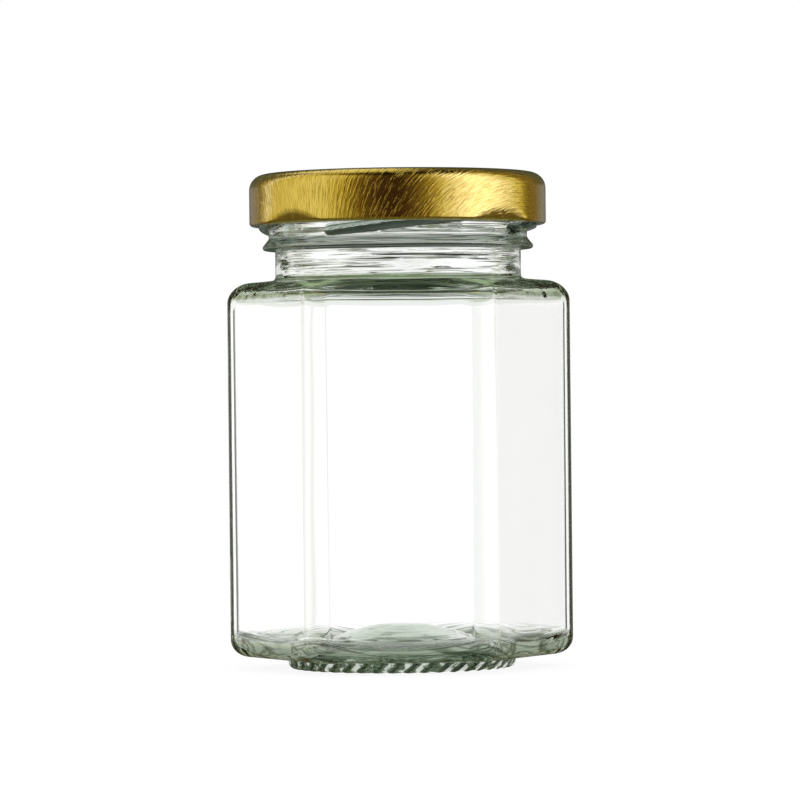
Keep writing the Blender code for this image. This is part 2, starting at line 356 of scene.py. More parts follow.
# Directions round the hexagon
CORNER_MARGIN = 1.15
SIXTH = math.radians(60)
HALF_SIXTH = math.radians(30)
APOTHEM = FLAT_TO_FLAT / 2


def arc(centre, radius, start, end, steps):
    """Points on an arc in a profile's plane, from one angle in degrees to another, ends included."""
    angles = [math.radians(start + (end - start) * i / steps) for i in range(steps + 1)]
    return [(centre[0] + radius * math.cos(a), centre[1] + radius * math.sin(a)) for a in angles]


def straight(start, end, steps):
    """Points between two profile points, both left out."""
    shares = [i / steps for i in range(1, steps)]
    return [(start[0] + (end[0] - start[0]) * s, start[1] + (end[1] - start[1]) * s) for s in shares]


def smooth(value, low, high):
    """Rises smoothly from 0 to 1 between two values."""
    share = min(max((value - low) / (high - low), 0.0), 1.0)
    return share * share * (3 - 2 * share)


def corner_edge(apothem, corner):
    """Half the angle, seen from the axis, that the rounding of one corner takes up."""
    centre = (apothem - corner) / math.cos(HALF_SIXTH)
    return math.atan2(corner * math.sin(HALF_SIXTH), centre + corner * math.cos(HALF_SIXTH))


def reach(direction, apothem, corner):
    """How far a hexagon with rounded corners reaches from its axis in one direction."""
    turn = abs((direction + HALF_SIXTH) % SIXTH - HALF_SIXTH)
    if turn >= corner_edge(apothem, corner):
        return apothem / math.cos(HALF_SIXTH - turn)
    centre = (apothem - corner) / math.cos(HALF_SIXTH)
    return centre * math.cos(turn) + math.sqrt(corner**2 - (centre * math.sin(turn)) ** 2)


def ring_directions():
    """Directions round the jar, closer together on the corners than on the flat sides."""
    edge = corner_edge(APOTHEM, CORNER_ROUND) * CORNER_MARGIN
    directions = []
    for side in range(6):
        middle = side * SIXTH
        directions += [middle - edge + 2 * edge * i / CORNER_STEPS for i in range(CORNER_STEPS)]
        directions += [middle + edge + (SIXTH - 2 * edge) * i / FLAT_STEPS for i in range(FLAT_STEPS)]
    return directions


class Section:
    """One level ring of the glass: a rounded hexagon, or a circle where apothem and corner are equal."""

    def __init__(self, apothem, corner, z, zone):
        self.apothem = apothem
        self.corner = corner
        self.z = z
        self.zone = zone

    def point(self, direction):
        """The point of the ring in one direction, with the marks of its zone."""
        radius = reach(direction, self.apothem, self.corner)
        radius, z = ZONE_MARKS[self.zone](direction, radius, self.z)
        return Vector((radius * math.cos(direction), radius * math.sin(direction), z))


def wave(direction, z, ripple, spread=1.0):
    """Even noise on the wall, from its place round the jar and its height, between -1 and 1."""
    turns, rise, seed = ripple
    turns = turns * spread
    place = (turns * math.cos(direction), turns * math.sin(direction), z * rise + seed)
    return noise.noise(Vector(place))


def plain(direction, radius, z):
    """No marks."""
    return radius, z


def thread_bump(direction, radius, z):
    """Adds the threads to the outside of the finish: ridges along part of a helix, with round ends."""
    lead = math.radians(THREAD_SPAN)
    run = FINISH_RADIUS * lead
    length = math.hypot(run, THREAD_RISE)
    margin = math.radians(THREAD_MARGIN)
    bump = 0.0
    for number in range(THREAD_STARTS):
        start = math.radians(THREAD_LOW_END + number * 360 / THREAD_STARTS)
        turn = (direction - start + margin) % math.tau - margin
        along = (turn * FINISH_RADIUS * run + (z - THREAD_LOW_Z) * THREAD_RISE) / length**2
        along = min(max(along, 0.0), 1.0)
        off = math.hypot(turn * FINISH_RADIUS - along * run, z - THREAD_LOW_Z - along * THREAD_RISE)
        bump = max(bump, 1 - smooth(off, THREAD_HALF_THICKNESS - THREAD_EDGE, THREAD_HALF_THICKNESS))
    return radius + THREAD_HEIGHT * bump, z


def knurled(direction, radius, z):
    """Cuts the slanting knurls into the foot ring's underside."""
    across = (radius - FOOT_FLAT[0]) / (FOOT_OUTER - FOOT_FLAT[0])
    phase = direction * KNURLS / math.tau + KNURL_SLANT * across
    groove = 0.5 - 0.5 * math.cos(math.tau * phase)
    depth = KNURL_NOTCH * groove * smooth(across, *KNURL_BEGINS)
    side = smooth(across, *KNURL_SIDE)
    return radius - (0.2 + 0.6 * side) * depth, z + (1 - 0.7 * side) * depth


def wavy_wall(direction, radius, z):
    """The inside of the wall, which the mould doesn't touch."""
    return radius + WALL_WAVE * wave(direction, z, WALL_RIPPLE), z


def wavy_shoulder(direction, radius, z):
    """The inside of the shoulder."""
    lift = wave(direction, z, SHOULDER_RIPPLE) + 0.4 * wave(direction, z, SHOULDER_FINE_RIPPLE)
    return radius + SHOULDER_WAVE * lift, z + SHOULDER_WAVE * lift


def wavy_neck(direction, radius, z):
    """The inside of the neck."""
    ripple = wave(direction, z, NECK_RIPPLE) + 0.5 * wave(direction, z, NECK_FINE_RIPPLE)
    return radius + NECK_WAVE * ripple, z


def wavy_floor(direction, radius, z):
    """The inside of the heel and the floor."""
    share = radius / APOTHEM
    slow = wave(direction, z, FLOOR_RIPPLE, share) + 0.3 * wave(direction, z, FLOOR_FINE_RIPPLE, share)
    rings = wave(direction, radius - z, FLOOR_RINGS, share)
    return radius, z + FLOOR_WAVE * (slow + 0.5 * rings)


ZONE_MARKS = {
    "plain": plain,
    "threads": thread_bump,
    "foot": knurled,
    "wall": wavy_wall,
    "shoulder": wavy_shoulder,
    "neck": wavy_neck,
    "floor": wavy_floor,
}


def rounds(points, zone="plain"):
    """Circles from profile points."""
    return [Section(radius, radius, z, zone) for radius, z in points]


def hexagons(points, corner_from, corner_to, zone="plain"):
    """Rounded hexagons from profile points, with corners that go from one rounding to another."""
    last = max(len(points) - 1, 1)
    step = (corner_to - corner_from) / last
    return [Section(apothem, corner_from + step * i, z, zone) for i, (apothem, z) in enumerate(points)]


def outside_sections():
    """From the middle underneath, round the foot and heel, up the body and the neck to the rim."""
    cap = [
        (radius, PUSH_UP_HEIGHT * (1 - (radius / PUSH_UP_RADIUS) ** 2) + PUSH_UP_EDGE)
        for radius in PUSH_UP_RINGS
    ]
    inner_flat, outer_flat = FOOT_FLAT
    lip = [(PUSH_UP_RADIUS, PUSH_UP_EDGE), *FOOT_LIP]
    foot = [(inner_flat + (outer_flat - inner_flat) * i / 6, 0.0) for i in range(7)]
    side_round = FOOT_OUTER - outer_flat
    foot += arc((outer_flat, side_round), side_round, -75, 0, 6)
    inset = APOTHEM - HEEL_ROUND
    under = [(FOOT_OUTER + out, z) for out, z in UNDER_HEEL]
    heel = arc((inset, HEEL_BOTTOM + HEEL_ROUND), HEEL_ROUND, -90, 0, 12)
    low = (APOTHEM, HEEL_BOTTOM + HEEL_ROUND)
    high = (APOTHEM, SHOULDER_TOP - SHOULDER_ROUND)
    inset = APOTHEM - SHOULDER_ROUND
    shoulder = arc((inset, SHOULDER_TOP - SHOULDER_ROUND), SHOULDER_ROUND, 0, 90, 14)
    foot_of_neck = [(NECK_RADIUS + 1.1, NECK_FOOT - 0.25), (NECK_RADIUS + 0.8, NECK_FOOT - 0.15)]
    foot_of_neck += arc((NECK_RADIUS + NECK_FILLET, NECK_FOOT + 0.65), NECK_FILLET, 250, 180, 4)
    return (
        rounds(cap + lip)
        + rounds(foot, "foot")
        + rounds(under)
        + hexagons(heel, CORNER_ROUND / 2, CORNER_ROUND)
        + hexagons(straight(low, high, 12), CORNER_ROUND, CORNER_ROUND)
        + hexagons(shoulder, CORNER_ROUND, SHOULDER_CORNER_ROUND)
        + rounds(foot_of_neck)
    )


def finish_sections():
    """The neck, its bead, the threaded part above it and the rim of the mouth."""
    low = (NECK_RADIUS, NECK_FOOT + 0.9)
    high = (NECK_RADIUS, BEAD_BOTTOM - 0.35)
    neck = [low] + straight(low, high, 8) + [high]
    hollow = (NECK_RADIUS + UNDER_BEAD_ROUND, BEAD_BOTTOM - UNDER_BEAD_ROUND)
    under_bead = arc(hollow, UNDER_BEAD_ROUND, 180, 90, 3)
    tip = arc((BEAD_RADIUS - BEAD_ROUND, BEAD_BOTTOM + BEAD_ROUND), BEAD_ROUND, -90, 40, 6)
    slope = straight(tip[-1], (FINISH_RADIUS + 0.25, BEAD_TOP - 0.3), 4)
    over_bead = [(FINISH_RADIUS + 0.25, BEAD_TOP - 0.3), (FINISH_RADIUS + 0.08, BEAD_TOP - 0.05)]
    band_low = (FINISH_RADIUS, BEAD_TOP - 0.35)
    band_high = (FINISH_RADIUS, JAR_HEIGHT - RIM_ROUND)
    band = straight(band_low, band_high, 44)
    outer_round = arc((FINISH_RADIUS - RIM_ROUND, JAR_HEIGHT - RIM_ROUND), RIM_ROUND, 0, 90, 6)
    small = RIM_ROUND / 2
    inner_round = arc((MOUTH_RADIUS + small, JAR_HEIGHT - small), small, 90, 180, 4)
    above = [(r, z) for r, z in band if z > BEAD_TOP]
    return (
        rounds(neck + under_bead + tip + slope + over_bead)
        + rounds(above, "threads")
        + rounds(outer_round + inner_round)
    )


def dome_share(radius):
    """How much of its full height the dome in the floor has at one radius, with a soft foot."""
    share = 1 - (radius / (DOME_RADIUS + DOME_FOOT)) ** 2
    return (share + math.sqrt(share**2 + DOME_SOFTNESS)) / 2


def inside_sections():
    """The inside, from the mouth down the neck and the wall to the domed floor."""
    apothem = APOTHEM - WALL
    corner_high, corner_low = INSIDE_CORNERS
    mouth_low = (MOUTH_RADIUS, BEAD_TOP + 2)
    bore_high = (NECK_BORE, BEAD_BOTTOM - 1)
    bore_low = (NECK_BORE, NECK_FOOT - 0.3)
    neck = straight((MOUTH_RADIUS, JAR_HEIGHT - RIM_ROUND), mouth_low, 6) + [mouth_low]
    neck += straight(mouth_low, bore_high, 6) + [bore_high]
    neck += straight(bore_high, bore_low, 10) + [bore_low]
    bend = arc((NECK_BORE + INSIDE_BEND, bore_low[1]), INSIDE_BEND, 180, 262, 6)
    bend_low = INSIDE_TOP - INSIDE_SHOULDER_ROUND
    shoulder = arc((apothem - INSIDE_SHOULDER_ROUND, bend_low), INSIDE_SHOULDER_ROUND, 90, 0, 10)
    wall_high = (apothem, bend_low)
    wall_low = (apothem, FLOOR + FLOOR_ROUND)
    heel = arc((apothem - FLOOR_ROUND, FLOOR + FLOOR_ROUND), FLOOR_ROUND, 0, -90, 10)
    rise = DOME_TOP - FLOOR
    dome = [(radius, FLOOR + rise * dome_share(radius)) for radius in DOME_RINGS]
    return (
        rounds(neck, "neck")
        + rounds(bend, "shoulder")
        + hexagons(shoulder, INSIDE_SHOULDER_CORNER, corner_high, "shoulder")
        + hexagons(straight(wall_high, wall_low, 20), corner_high, corner_low, "wall")
        + hexagons(heel, corner_low, corner_low, "floor")
        + rounds(dome, "floor")
    )


def mesh_object(name, shape, finish, smooth_angle=180, lining=None):
    """Turns a bmesh in millimetres into an object in metres, smooth and with its faces pointing out."""
    bmesh.ops.remove_doubles(shape, verts=shape.verts, dist=1e-5)
    bmesh.ops.recalc_face_normals(shape, faces=shape.faces)
    bmesh.ops.scale(shape, vec=(MM, MM, MM), verts=shape.verts)
    mesh_data = bpy.data.meshes.new(name)
    shape.to_mesh(mesh_data)
    shape.free()
    mesh_data.shade_smooth()
    if smooth_angle < 180:
        mesh_data.set_sharp_from_angle(angle=math.radians(smooth_angle))
    mesh_data.materials.append(finish)
    if lining:
        mesh_data.materials.append(lining)
        for face in mesh_data.polygons:
            face.material_index = int(is_inside_lid(face))
    made = bpy.data.objects.new(name, mesh_data)
    bpy.context.scene.collection.objects.link(made)
    return made


def is_inside_lid(face):
    """True for the faces that the lid turns to the glass."""
    x, y, z = face.center
    radius = math.hypot(x, y)
    outward = (x * face.normal.x + y * face.normal.y) / max(radius, 1e-9)
    if face.normal.z > FACES_UP:
        return False
    skirt = outward < -FACES_AWAY and z > (LID_BOTTOM + ABOVE_CURL) * MM
    within = radius < (LID_RADIUS - WITHIN_SKIRT) * MM
    underside = within and face.normal.z < -FACES_AWAY and outward < FACES_AWAY
    return skirt or underside


def place_ring(ring, section):
    """Moves a ring's vertices out to a section, each in its own direction."""
    for vertex in ring:
        vertex.co = section.point(math.atan2(vertex.co.y, vertex.co.x))


def glass_skin(sections):
    """One closed skin: a circle extruded from section to section and drawn together at both ends."""
    shape = bmesh.new()
    directions = ring_directions()
    ring = bmesh.ops.create_circle(shape, segments=len(directions), radius=1)["verts"]
    for vertex, direction in zip(ring, directions):
        vertex.co = (math.cos(direction), math.sin(direction), 0)
    place_ring(ring, sections[0])
    edges = list(shape.edges)
    first = list(ring)
    for section in sections[1:]:
        grown = bmesh.ops.extrude_edge_only(shape, edges=edges)["geom"]
        ring = [part for part in grown if isinstance(part, bmesh.types.BMVert)]
        edges = [part for part in grown if isinstance(part, bmesh.types.BMEdge)]
        place_ring(ring, section)
    for end in (first, ring):
        middle = sum((vertex.co for vertex in end), Vector()) / len(end)
        bmesh.ops.pointmerge(shape, verts=end, merge_co=middle)
    return shape


def lid_profile():
    """The lid's section, from the middle of its top down the outside, round the curl and back inside."""
    sheet = LID_SHEET
    recess_top = LID_TOP - LID_RECESS
    step_end = LID_RECESS_RADIUS + LID_STEP
    middle = (LID_RADIUS - LID_CORNER, LID_TOP - LID_CORNER)
    curl = CURL_THICKNESS / 2
    curl_centre = (LID_RADIUS - curl, LID_BOTTOM + curl)
    inner_skirt = LID_RADIUS - sheet
    bend = LID_STEP_ROUND
    flat = [(r, recess_top) for r in LID_PANEL_RINGS]
    step = arc((LID_RECESS_RADIUS - bend, recess_top + bend), bend, 270, 320, 3)
    step += arc((step_end + bend, LID_TOP - bend), bend, 140, 90, 3)
    corner = arc(middle, LID_CORNER, 90, 0, 16)
    skirt = straight(corner[-1], (LID_RADIUS, curl_centre[1]), 30)
    rolled = arc(curl_centre, curl, 0, -225, 18)
    inside_skirt = [(inner_skirt, LID_BOTTOM + CURL_THICKNESS + 0.4)]
    inside_skirt += straight(inside_skirt[0], (inner_skirt, middle[1]), 8)
    inside_corner = arc(middle, LID_CORNER - sheet, 0, 90, 8)
    under = [(step_end + 0.2, LID_TOP - sheet), (LID_RECESS_RADIUS + 0.1, recess_top - sheet)]
    under += [(r, recess_top - sheet) for r in reversed(LID_PANEL_RINGS)]
    return flat + step + corner + skirt + rolled + inside_skirt + inside_corner + under


def press_lugs(shape):
    """Pushes the skirt's lower edge in under an arch, where each lug is formed."""
    step = math.radians(360 / LUG_COUNT)
    half = math.radians(LUG_HALF_WIDTH)
    for vertex in shape.verts:
        direction = math.atan2(vertex.co.y, vertex.co.x) - math.radians(LUG_FIRST)
        turn = abs((direction + step / 2) % step - step / 2) / half
        radius = math.hypot(vertex.co.x, vertex.co.y)
        if turn >= 1 or radius < LID_RADIUS - 4:
            continue
        arch = LID_BOTTOM + LUG_ARCH * (1 - turn**2)
        below = arch - vertex.co.z
        soft = math.sqrt(below**2 + LUG_EDGE**2)
        push = LUG_SLOPE * (below + soft) / 2 * smooth(below, -1.0, 0.0)
        vertex.co.x *= 1 - push / radius
        vertex.co.y *= 1 - push / radius


def lid_shape():
    """The lid's profile spun round the jar's axis, with the lugs pressed in."""
    shape = bmesh.new()
    ends = [shape.verts.new((radius, 0, z)) for radius, z in lid_profile()]
    edges = [shape.edges.new(pair) for pair in zip(ends, ends[1:])]
    bmesh.ops.spin(
        shape,
        geom=ends + edges,
        cent=(0, 0, 0),
        axis=(0, 0, 1),
        angle=math.tau,
        steps=LID_STEPS,
        use_merge=True,
    )
    press_lugs(shape)
    return shape


class Wire:
    """One output of a shader node. Arithmetic on it adds Math nodes."""

    def __init__(self, tree, socket):
        self.tree = tree
        self.socket = socket

    def maths(self, operation, *values):
        """One Math node on the values given."""
        return self.tree.add("ShaderNodeMath", {"operation": operation}, dict(enumerate(values)))

    def __add__(self, other):
        return self.maths("ADD", self, other)

    def __radd__(self, other):
        return self.maths("ADD", other, self)

    def __sub__(self, other):
        return self.maths("SUBTRACT", self, other)

    def __rsub__(self, other):
        return self.maths("SUBTRACT", other, self)

    def __mul__(self, other):
        return self.maths("MULTIPLY", self, other)

    def __rmul__(self, other):
        return self.maths("MULTIPLY", other, self)

    def __truediv__(self, other):
        return self.maths("DIVIDE", self, other)

    def __pow__(self, other):
        return self.maths("POWER", self, other)

    def __neg__(self):
        return self.maths("MULTIPLY", self, -1.0)


class Tree:
    """A node tree that nodes are added to one way."""

    def __init__(self, owner):
        owner.use_nodes = True
        self.tree = owner.node_tree
        self.tree.nodes.clear()

    def add(self, kind, settings=None, inputs=None, output=0):
        """Adds a node: its settings first, then the values or links of its inputs."""
        node = self.tree.nodes.new(kind)
        for name, value in (settings or {}).items():
            if name == "stops":
                set_stops(node.color_ramp, value)
            else:
                setattr(node, name, value)
        for name, value in (inputs or {}).items():
            if isinstance(value, Wire):
                self.tree.links.new(value.socket, node.inputs[name])
            else:
                node.inputs[name].default_value = value
        if not node.outputs:
            return node
        return Wire(self, node.outputs[output])

    def step(self, value, low, high):
        """A smooth step from 0 to 1 as the value goes from low to high."""
        inputs = {"Value": value, "From Min": low, "From Max": high}
        return self.add("ShaderNodeMapRange", {"interpolation_type": "SMOOTHSTEP"}, inputs)

    def mix(self, share, first, second):
        """Mixes two colours."""
        inputs = {0: share, 6: first, 7: second}
        return self.add("ShaderNodeMix", {"data_type": "RGBA"}, inputs, 2)

    def multiply(self, first, second):
        """Multiplies two colours."""
        settings = {"data_type": "RGBA", "blend_type": "MULTIPLY"}
        return self.add("ShaderNodeMix", settings, {0: 1.0, 6: first, 7: second}, 2)

    def bump(self, height):
        """A normal from a height in metres."""
        return self.add("ShaderNodeBump", {}, {"Strength": 1.0, "Distance": 1.0, "Height": height})

    def noise(self, place, scale, detail, roughness=0.5):
        """Even noise between 0 and 1."""
        inputs = {"Vector": place, "Scale": scale, "Detail": detail, "Roughness": roughness}
        return self.add("ShaderNodeTexNoise", {}, inputs)

    def stretched_noise(self, x, y, z, scales, detail, shift=0.0):
        """Noise with one scale for the first two directions and another for the third."""
        third = z * scales[1]
        if shift:
            third = third + shift
        place = self.vector(x * scales[0], y * scales[0], third)
        return self.noise(place, 1.0, detail, 0.5)

    def scaled(self, vector, length):
        """A colour or vector times a number."""
        return self.add("ShaderNodeVectorMath", {"operation": "SCALE"}, {0: vector, "Scale": length})

    def parts(self, vector):
        """The three numbers of a vector."""
        split = self.add("ShaderNodeSeparateXYZ", {}, {"Vector": vector})
        outputs = split.socket.node.outputs
        return [Wire(self, outputs[name]) for name in "XYZ"]

    def vector(self, x, y, z):
        """A vector from three numbers."""
        return self.add("ShaderNodeCombineXYZ", {}, {"X": x, "Y": y, "Z": z})

    def surface(self, shader, volume=None):
        """Ends the tree in a material's output."""
        links = {"Surface": shader}
        if volume:
            links["Volume"] = volume
        self.add("ShaderNodeOutputMaterial", {}, links)


def set_stops(ramp, stops):
    """Gives a colour ramp its stops, each a place and a colour."""
    while len(ramp.elements) > 1:
        ramp.elements.remove(ramp.elements[-1])
    ramp.elements[0].position = stops[0][0]
    ramp.elements[0].color = stops[0][1]
    for place, colour in stops[1:]:
        ramp.elements.new(place).color = colour


def knurl_bead(tree, x, y, z, radius):
    """Round beads that slant across the foot ring: 1 along the middle of each, 0 in the notches."""
    across = (radius / MM - FOOT_FLAT[0]) * (1 / (FOOT_OUTER - FOOT_FLAT[0])) - z / MM * KNURL_LEAN
    phase = y.maths("ARCTAN2", y, x) * (KNURLS / math.tau) + across * KNURL_SLANT
    return phase.maths("ABSOLUTE", phase.maths("SINE", phase * math.pi)) ** KNURL_FULLNESS


def foot_mask(tree, z, radius):
    """1 on the side and the underside of the foot ring."""
    return tree.step(radius, *FOOT_SIDE) * (1 - tree.step(z, *FOOT_ENDS))


def green_and_painted_shade(tree, y, z, radius):
    """The green of the thick parts, deepened with painted shade, the shoulder lighter on its front and back
    than on its sides: the shoulder, the bead, the threads, the dome, the heel and the foot.
    """
    shoulder = tree.step(z, *SHOULDER_BEGINS) * (1 - tree.step(z, *SHOULDER_ENDS))
    front = tree.step(y.maths("ABSOLUTE", y), *FRONT_AND_BACK)
    bead = tree.step(z, *BEAD_BEGINS) * (1 - tree.step(z, *BEAD_ENDS)) * tree.step(radius, *BEAD_SIDE)
    thread = tree.step(z, *THREAD_BEGINS) * tree.step(radius, *THREAD_SIDE)
    dome = tree.step(z, *DOME_BEGINS) * (1 - tree.step(z, *DOME_ENDS)) * (1 - tree.step(radius, *DOME_SIDE))
    base = 1 - tree.step(z, *BASE_GREEN_AND_SHADE_ENDS)
    tint = tree.mix(shoulder, WHITE, tree.mix(front, SHOULDER_GREEN_AND_SHADE, FRONT_SHOULDER_GREEN_AND_SHADE))
    tint = tree.mix(bead, tint, BEAD_GREEN_AND_SHADE)
    tint = tree.mix(thread, tint, THREAD_GREEN_AND_SHADE)
    tint = tree.mix(dome, tint, DOME_GREEN_AND_SHADE)
    return tree.mix(base, tint, BASE_GREEN_AND_SHADE)


class GlassMarks:
    """What the mould left in the glass, and where shade and highlight are painted on it, as masks and
    heights that several sockets use.
    """

    def __init__(self, tree, place):
        x, y, z = tree.parts(place)
        radius = (x * x + y * y) ** 0.5
        neck = tree.step(z, *NECK_BEGINS) * (1 - FINISH_CALM * tree.step(z, *NECK_ENDS))
        self.neck = neck * (1 - tree.step(z, *FINISH_ENDS)) * (1 - tree.step(radius, *FINISH_SIDE))
        self.base = 1 - tree.step(z, *WAVY_BASE_ENDS)
        self.foot = foot_mask(tree, z, radius)
        self.beads = knurl_bead(tree, x, y, z, radius)
        self.streaks = tree.stretched_noise(x, y, z, STREAKS, 1.5)
        patches = tree.stretched_noise(x, y, z, STREAK_PATCHES, 1.0, 7.0)
        self.sparse = tree.step(patches, *PATCH_EDGE)
        self.swirls = tree.stretched_noise(x, y, z - radius * 0.4, SWIRLS, 1.5)
        self.slow = tree.noise(place, SLOW_SCALE, 1.0, 0.4)
        self.haze = tree.step(tree.noise(place, HAZE_SCALE, 4.0, 0.6), *HAZE_EDGE)
        self.flow_side = tree.step(radius, *FLOW_SIDE)
        # The green of thick glass, with painted shade
        self.green = green_and_painted_shade(tree, y, z, radius)

    def height(self):
        """Heights in metres for the bump."""
        streaks = self.streaks * self.sparse * self.neck * STREAK_DEPTH
        waves = streaks + self.swirls * self.base * SWIRL_DEPTH + self.slow * SLOW_DEPTH
        return waves + self.beads * self.foot * (KNURL_DEPTH * MM)

    def colour(self, tree):
        """Painted shade along the flow lines in the neck and base, the green of thick glass with more
        painted shade, and painted shade in the foot's notches.
        """
        ridge = self.swirls.maths("ABSOLUTE", self.swirls - 0.5)
        # Painted shade along the swirl ridges in the base and the streaks in the neck
        flow = (1 - tree.step(ridge, *RIDGE_EDGE)) * self.base * self.flow_side * FLOW_SHADE_SHARE
        lines = tree.step(self.streaks, *LINE_EDGE) * self.sparse * self.neck * LINE_SHADE_SHARE
        marks = tree.multiply(tree.mix(flow + lines, WHITE, PAINTED_FLOW_SHADE), self.green)
        # Painted shade in the notches of the foot
        notches = self.foot * (1 - tree.step(self.beads, *NOTCH_EDGE))
        return tree.mix(notches * NOTCH_SHADE_SHARE, marks, PAINTED_NOTCH_SHADE)

    def crest_highlights(self, tree):
        """1 on the crests of the foot's beads, where a white matt finish is mixed in as a painted highlight.
        """
        return self.foot * tree.step(self.beads, *CREST_EDGE) * tree.step(self.haze, *CREST_HAZE)


def jar_glass():
    """Clear soda-lime glass, green where it is thick and slightly wavy on the neck and base, with painted
    shade and painted highlights in its colour and finish.
    """
    made = bpy.data.materials.new("jar_glass")
    tree = Tree(made)
    marks = GlassMarks(tree, tree.add("ShaderNodeTexCoord", output="Object"))
    bump = tree.bump(marks.height())
    glass = tree.add(
        "ShaderNodeBsdfPrincipled",
        {},
        {
            "Base Color": marks.colour(tree),
            "Roughness": marks.haze * HAZE_ROUGHNESS,
            "IOR": GLASS_IOR,
            "Transmission Weight": 1.0,
            "Normal": bump,
        },
    )
    # A white matt finish on the crests of the foot's beads: a painted highlight
    highlight_finish = tree.add(
        "ShaderNodeBsdfPrincipled",
        {},
        {"Base Color": CREST_HIGHLIGHT, "Roughness": CREST_HIGHLIGHT_ROUGHNESS, "Normal": bump},
    )
    crests = marks.crest_highlights(tree) * CREST_SHARE
    shader = tree.add("ShaderNodeMixShader", {}, {0: crests, 1: glass, 2: highlight_finish})
    volume = {"Color": VOLUME_TINT, "Density": VOLUME_DENSITY}
    tree.surface(shader, tree.add("ShaderNodeVolumeAbsorption", {}, volume))
    return made


def brush_strokes(tree, x, y, z):
    """Fine and coarse strokes, laid on the flat blank that the lid was drawn from."""
    radius = (x * x + y * y) ** 0.5
    blank = radius + (LID_TOP * MM - z)
    flat_x = x / radius * blank
    flat_y = y / radius * blank
    turn = math.radians(BRUSH_DIRECTION)
    along = flat_x * math.cos(turn) + flat_y * math.sin(turn)
    across = flat_y * math.cos(turn) - flat_x * math.sin(turn)
    wander = tree.noise(tree.vector(flat_x, flat_y, 0.0), WANDER_SCALE, 2.0) - 0.5
    across = across + wander * STROKE_WANDER
    place = tree.vector(along * FINE_STROKES[0], across * FINE_STROKES[1], 0.0)
    fine = tree.noise(place, 1.0, 2.0, 0.5)
    place = tree.vector(along * COARSE_STROKES[0], across * COARSE_STROKES[1], 3.0)
    coarse = tree.noise(place, 1.0, 2.0, 0.6)
    return fine, coarse


def brushed_gold():
    """Gold lacquer over tinplate that was brushed before the lid was drawn from it."""
    made = bpy.data.materials.new("brushed_gold")
    tree = Tree(made)
    place = tree.add("ShaderNodeTexCoord", output="Object")
    fine, coarse = brush_strokes(tree, *tree.parts(place))
    cuts = tree.step(coarse, *CUT_EDGE)
    height = fine * FINE_DEPTH + coarse * COARSE_DEPTH + cuts * CUT_DEPTH
    gold = tree.mix(tree.noise(place, GOLD_PATCHES, 3.0), GOLD, PALE_GOLD)
    gold = tree.mix(tree.step(fine, *DEEP_GOLD_EDGE) * DEEP_GOLD_SHARE, gold, DEEP_GOLD)
    shader = tree.add(
        "ShaderNodeBsdfPrincipled",
        {},
        {
            "Base Color": gold,
            "Metallic": 1.0,
            "Roughness": GOLD_ROUGHNESS + STROKE_ROUGHNESS * fine,
            "Normal": tree.bump(height),
            "Coat Weight": LACQUER,
            "Coat Roughness": LACQUER_ROUGHNESS,
        },
    )
    tree.surface(shader)
    return made


def lid_lining():
    """Pale grey lacquer on the inside of the lid."""
    made = bpy.data.materials.new("grey_lining")
    tree = Tree(made)
    place = tree.add("ShaderNodeTexCoord", output="Object")
    mottle = tree.noise(place, LINING_MOTTLE, 4.0, 0.6)
    tone = tree.mix(mottle, LINING, PALE_LINING)
    shader = tree.add(
        "ShaderNodeBsdfPrincipled",
        {},
        {"Base Color": tone, "Roughness": LINING_ROUGHNESS + MOTTLE_ROUGHNESS * mottle},
    )
    tree.surface(shader)
    return made


def studio_floor():
    """A pale floor that keeps a soft shadow near the jar and is plain white further out."""
    made = bpy.data.materials.new("pale_floor")
    tree = Tree(made)
    place = tree.add("ShaderNodeTexCoord", output="Object")
    x, y, z = tree.parts(place)
    far = tree.step((x * x + y * y) ** 0.5, *FLOOR_FADE)
    tone = tree.mix(tree.noise(place, FLOOR_SPECKLE, 3.0), *FLOOR_TONES)
    matt = tree.add(
        "ShaderNodeBsdfPrincipled",
        {},
        {"Base Color": tone, "Roughness": 1.0, "Specular IOR Level": 0.0},
    )
    glow = tree.add("ShaderNodeEmission", {}, {"Strength": FLOOR_GLOW})
    share = FLOOR_GLOW_NEAR + FLOOR_GLOW_MORE * far
    shader = tree.add("ShaderNodeMixShader", {}, {0: share, 1: matt, 2: glow})
    tree.surface(shader)
    return made


def studio_world():
    """White round the picture. The glass and the lid see a sheet behind, side lights and dark gaps."""
    world = bpy.data.worlds.new("studio")
    bpy.context.scene.world = world
    tree = Tree(world)
    to_camera = tree.add("ShaderNodeLightPath", output="Is Camera Ray")
    outputs = to_camera.socket.node.outputs
    is_glossy = Wire(tree, outputs["Is Glossy Ray"])
    is_through = Wire(tree, outputs["Is Transmission Ray"])
    x, y, z = tree.parts(tree.add("ShaderNodeTexCoord", output="Generated"))
    azimuth = x.maths("ARCTAN2", x, -y) * (180 / math.pi)
    elevation = z.maths("ARCSINE", z) * (180 / math.pi)
    colour = tree.mix(is_glossy, WHITE, mirrored_light(tree, x, y, z, azimuth, elevation))
    colour = tree.mix(is_through, colour, light_through_glass(tree, azimuth, elevation))
    colour = tree.mix(to_camera, colour, WHITE)
    light = tree.add("ShaderNodeBackground", {}, {"Color": colour, "Strength": 1.0})
    tree.add("ShaderNodeOutputWorld", {}, {"Surface": light})
    world.cycles.sampling_method = "NONE"


def around(tree, azimuth, levels):
    """A level of light for each direction round the jar, from its stops."""
    stops = [((degrees + 180) / 360, (level, level, level, 1.0)) for degrees, level in levels]
    share = (azimuth + 180.0) * (1 / 360)
    ramp = tree.add("ShaderNodeValToRGB", {"stops": stops}, {"Fac": share})
    return tree.parts(ramp)[0]


